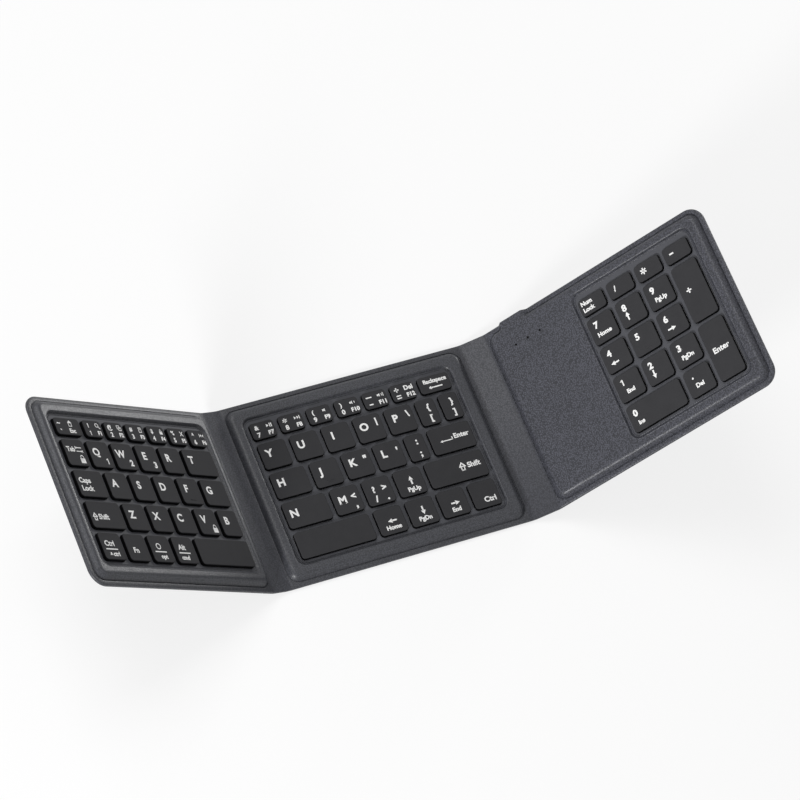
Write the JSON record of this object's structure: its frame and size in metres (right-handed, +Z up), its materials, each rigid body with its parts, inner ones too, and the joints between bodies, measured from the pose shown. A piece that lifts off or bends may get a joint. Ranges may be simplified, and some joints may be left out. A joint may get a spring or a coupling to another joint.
{
  "type": "folding keyboard",
  "caption": "Pocket keyboard in leather-covered panels: a middle panel with hinged wings, low keys and a number pad, folding flat in three layers.",
  "frame": {"origin": "centre of the underside of the middle panel, on the table", "axes": "+X along the keyboard to the number pad, +Y to the back edge behind the number row, +Z up out of the keys"},
  "size_m": [0.3358, 0.0968, 0.0904],
  "materials": {
    "leather_top": "embossed grey artificial leather",
    "leather_under": "embossed grey artificial leather",
    "leather_band": "smooth grey artificial leather",
    "steel_plate": "rolled sheet",
    "contact_film": "printed film",
    "dome_rubber": "moulded silicone",
    "link_plastic": "moulded",
    "frame_plastic": "moulded, fine texture",
    "magnet_nickel": "nickel plated",
    "cable_film": "flexible printed film",
    "board_laminate": "solder masked laminate",
    "battery_pouch": "foil pouch",
    "socket_steel": "plated",
    "port_plastic": "moulded",
    "light_plastic": "smoked clear",
    "key_plastic": "satin"
  },
  "bodies": {
    "middle_panel": {"middle_bottom_skin": "leather_under", "middle_base_plate": "steel_plate", "middle_contact_sheet": "contact_film", "middle_dome_sheet": "dome_rubber", "middle_scissor_links": "link_plastic", "middle_key_frame": "frame_plastic", "middle_top_skin": "leather_top"},
    "left_band": {"left_hinge_band": "leather_band", "left_flat_cable": "cable_film"},
    "left_wing": {"left_bottom_skin": "leather_under", "left_base_plate": "steel_plate", "left_contact_sheet": "contact_film", "left_dome_sheet": "dome_rubber", "left_scissor_links": "link_plastic", "left_key_frame": "frame_plastic", "left_top_skin": "leather_top", "left_magnets": "magnet_nickel"},
    "right_band": {"right_hinge_band": "leather_band", "right_flat_cable": "cable_film"},
    "right_wing": {"right_bottom_skin": "leather_under", "right_base_plate": "steel_plate", "right_contact_sheet": "contact_film", "right_dome_sheet": "dome_rubber", "right_scissor_links": "link_plastic", "right_key_frame": "frame_plastic", "right_top_skin": "leather_top", "right_magnets": "magnet_nickel", "main_board": "board_laminate", "battery": "battery_pouch", "charging_socket": "socket_steel", "port_block": "port_plastic", "status_lights": "light_plastic"},
    "esc_key_body": {"esc_key": "key_plastic"},
    "left_number_keys_body": {"left_number_keys": "key_plastic"},
    "tab_key_body": {"tab_key": "key_plastic"},
    "left_upper_keys_body": {"left_upper_keys": "key_plastic"},
    "caps_lock_key_body": {"caps_lock_key": "key_plastic"},
    "left_home_keys_body": {"left_home_keys": "key_plastic"},
    "left_shift_key_body": {"left_shift_key": "key_plastic"},
    "left_lower_keys_body": {"left_lower_keys": "key_plastic"},
    "left_modifier_keys_body": {"left_modifier_keys": "key_plastic"},
    "left_space_key_body": {"left_space_key": "key_plastic"},
    "middle_number_keys_body": {"middle_number_keys": "key_plastic"},
    "backspace_key_body": {"backspace_key": "key_plastic"},
    "middle_upper_keys_body": {"middle_upper_keys": "key_plastic"},
    "middle_home_keys_body": {"middle_home_keys": "key_plastic"},
    "enter_key_body": {"enter_key": "key_plastic"},
    "middle_lower_keys_body": {"middle_lower_keys": "key_plastic"},
    "arrow_keys_body": {"arrow_keys": "key_plastic"},
    "right_shift_key_body": {"right_shift_key": "key_plastic"},
    "right_space_key_body": {"right_space_key": "key_plastic"},
    "right_ctrl_key_body": {"right_ctrl_key": "key_plastic"},
    "pad_top_keys_body": {"pad_top_keys": "key_plastic"},
    "pad_789_keys_body": {"pad_789_keys": "key_plastic"},
    "pad_456_keys_body": {"pad_456_keys": "key_plastic"},
    "pad_123_keys_body": {"pad_123_keys": "key_plastic"},
    "pad_plus_key_body": {"pad_plus_key": "key_plastic"},
    "pad_enter_key_body": {"pad_enter_key": "key_plastic"},
    "pad_zero_key_body": {"pad_zero_key": "key_plastic"},
    "pad_point_key_body": {"pad_point_key": "key_plastic"}
  },
  "joints": [
    {"name": "left_band_fold", "type": "hinge", "parent": "middle_panel", "child": "left_band", "pos_m": [-0.0634, 0, 0.0008], "axis": [0, 1, 0], "range_deg": [-18.1, 71.9]},
    {"name": "left_wing_fold", "type": "hinge", "parent": "left_band", "child": "left_wing", "pos_m": [-0.071, 0, 0.00329], "axis": [0, 1, 0], "range_deg": [-18.1, 71.9]},
    {"name": "right_band_fold", "type": "hinge", "parent": "middle_panel", "child": "right_band", "pos_m": [0.0634, 0, 0.0008], "axis": [0, -1, 0], "range_deg": [-21.25, 68.75]},
    {"name": "right_wing_fold", "type": "hinge", "parent": "right_band", "child": "right_wing", "pos_m": [0.07547, 0, 0.00549], "axis": [0, -1, 0], "range_deg": [-21.25, 68.75]},
    {"name": "esc_key_press", "type": "slide", "parent": "left_wing", "child": "esc_key_body", "axis": [-0.5906, 0, -0.807], "range_m": [0, 0.0012], "stiffness_N_per_m": 450},
    {"name": "left_number_keys_press", "type": "slide", "parent": "left_wing", "child": "left_number_keys_body", "axis": [-0.5906, 0, -0.807], "range_m": [0, 0.0012], "stiffness_N_per_m": 450},
    {"name": "tab_key_press", "type": "slide", "parent": "left_wing", "child": "tab_key_body", "axis": [-0.5906, 0, -0.807], "range_m": [0, 0.0012], "stiffness_N_per_m": 450},
    {"name": "left_upper_keys_press", "type": "slide", "parent": "left_wing", "child": "left_upper_keys_body", "axis": [-0.5906, 0, -0.807], "range_m": [0, 0.0012], "stiffness_N_per_m": 450},
    {"name": "caps_lock_key_press", "type": "slide", "parent": "left_wing", "child": "caps_lock_key_body", "axis": [-0.5906, 0, -0.807], "range_m": [0, 0.0012], "stiffness_N_per_m": 450},
    {"name": "left_home_keys_press", "type": "slide", "parent": "left_wing", "child": "left_home_keys_body", "axis": [-0.5906, 0, -0.807], "range_m": [0, 0.0012], "stiffness_N_per_m": 450},
    {"name": "left_shift_key_press", "type": "slide", "parent": "left_wing", "child": "left_shift_key_body", "axis": [-0.5906, 0, -0.807], "range_m": [0, 0.0012], "stiffness_N_per_m": 450},
    {"name": "left_lower_keys_press", "type": "slide", "parent": "left_wing", "child": "left_lower_keys_body", "axis": [-0.5906, 0, -0.807], "range_m": [0, 0.0012], "stiffness_N_per_m": 450},
    {"name": "left_modifier_keys_press", "type": "slide", "parent": "left_wing", "child": "left_modifier_keys_body", "axis": [-0.5906, 0, -0.807], "range_m": [0, 0.0012], "stiffness_N_per_m": 450},
    {"name": "left_space_key_press", "type": "slide", "parent": "left_wing", "child": "left_space_key_body", "axis": [-0.5906, 0, -0.807], "range_m": [0, 0.0012], "stiffness_N_per_m": 450},
    {"name": "middle_number_keys_press", "type": "slide", "parent": "middle_panel", "child": "middle_number_keys_body", "axis": [0, 0, -1], "range_m": [0, 0.0012], "stiffness_N_per_m": 450},
    {"name": "backspace_key_press", "type": "slide", "parent": "middle_panel", "child": "backspace_key_body", "axis": [0, 0, -1], "range_m": [0, 0.0012], "stiffness_N_per_m": 450},
    {"name": "middle_upper_keys_press", "type": "slide", "parent": "middle_panel", "child": "middle_upper_keys_body", "axis": [0, 0, -1], "range_m": [0, 0.0012], "stiffness_N_per_m": 450},
    {"name": "middle_home_keys_press", "type": "slide", "parent": "middle_panel", "child": "middle_home_keys_body", "axis": [0, 0, -1], "range_m": [0, 0.0012], "stiffness_N_per_m": 450},
    {"name": "enter_key_press", "type": "slide", "parent": "middle_panel", "child": "enter_key_body", "axis": [0, 0, -1], "range_m": [0, 0.0012], "stiffness_N_per_m": 450},
    {"name": "middle_lower_keys_press", "type": "slide", "parent": "middle_panel", "child": "middle_lower_keys_body", "axis": [0, 0, -1], "range_m": [0, 0.0012], "stiffness_N_per_m": 450},
    {"name": "arrow_keys_press", "type": "slide", "parent": "middle_panel", "child": "arrow_keys_body", "axis": [0, 0, -1], "range_m": [0, 0.0012], "stiffness_N_per_m": 450},
    {"name": "right_shift_key_press", "type": "slide", "parent": "middle_panel", "child": "right_shift_key_body", "axis": [0, 0, -1], "range_m": [0, 0.0012], "stiffness_N_per_m": 450},
    {"name": "right_space_key_press", "type": "slide", "parent": "middle_panel", "child": "right_space_key_body", "axis": [0, 0, -1], "range_m": [0, 0.0012], "stiffness_N_per_m": 450},
    {"name": "right_ctrl_key_press", "type": "slide", "parent": "middle_panel", "child": "right_ctrl_key_body", "axis": [0, 0, -1], "range_m": [0, 0.0012], "stiffness_N_per_m": 450},
    {"name": "pad_top_keys_press", "type": "slide", "parent": "right_wing", "child": "pad_top_keys_body", "axis": [0.6756, 0, -0.7373], "range_m": [0, 0.0012], "stiffness_N_per_m": 450},
    {"name": "pad_789_keys_press", "type": "slide", "parent": "right_wing", "child": "pad_789_keys_body", "axis": [0.6756, 0, -0.7373], "range_m": [0, 0.0012], "stiffness_N_per_m": 450},
    {"name": "pad_456_keys_press", "type": "slide", "parent": "right_wing", "child": "pad_456_keys_body", "axis": [0.6756, 0, -0.7373], "range_m": [0, 0.0012], "stiffness_N_per_m": 450},
    {"name": "pad_123_keys_press", "type": "slide", "parent": "right_wing", "child": "pad_123_keys_body", "axis": [0.6756, 0, -0.7373], "range_m": [0, 0.0012], "stiffness_N_per_m": 450},
    {"name": "pad_plus_key_press", "type": "slide", "parent": "right_wing", "child": "pad_plus_key_body", "axis": [0.6756, 0, -0.7373], "range_m": [0, 0.0012], "stiffness_N_per_m": 450},
    {"name": "pad_enter_key_press", "type": "slide", "parent": "right_wing", "child": "pad_enter_key_body", "axis": [0.6756, 0, -0.7373], "range_m": [0, 0.0012], "stiffness_N_per_m": 450},
    {"name": "pad_zero_key_press", "type": "slide", "parent": "right_wing", "child": "pad_zero_key_body", "axis": [0.6756, 0, -0.7373], "range_m": [0, 0.0012], "stiffness_N_per_m": 450},
    {"name": "pad_point_key_press", "type": "slide", "parent": "right_wing", "child": "pad_point_key_body", "axis": [0.6756, 0, -0.7373], "range_m": [0, 0.0012], "stiffness_N_per_m": 450}
  ],
  "couplings": [
    {"joint": "left_wing_fold", "follows": "left_band_fold", "ratio": 1},
    {"joint": "right_wing_fold", "follows": "right_band_fold", "ratio": 1}
  ]
}
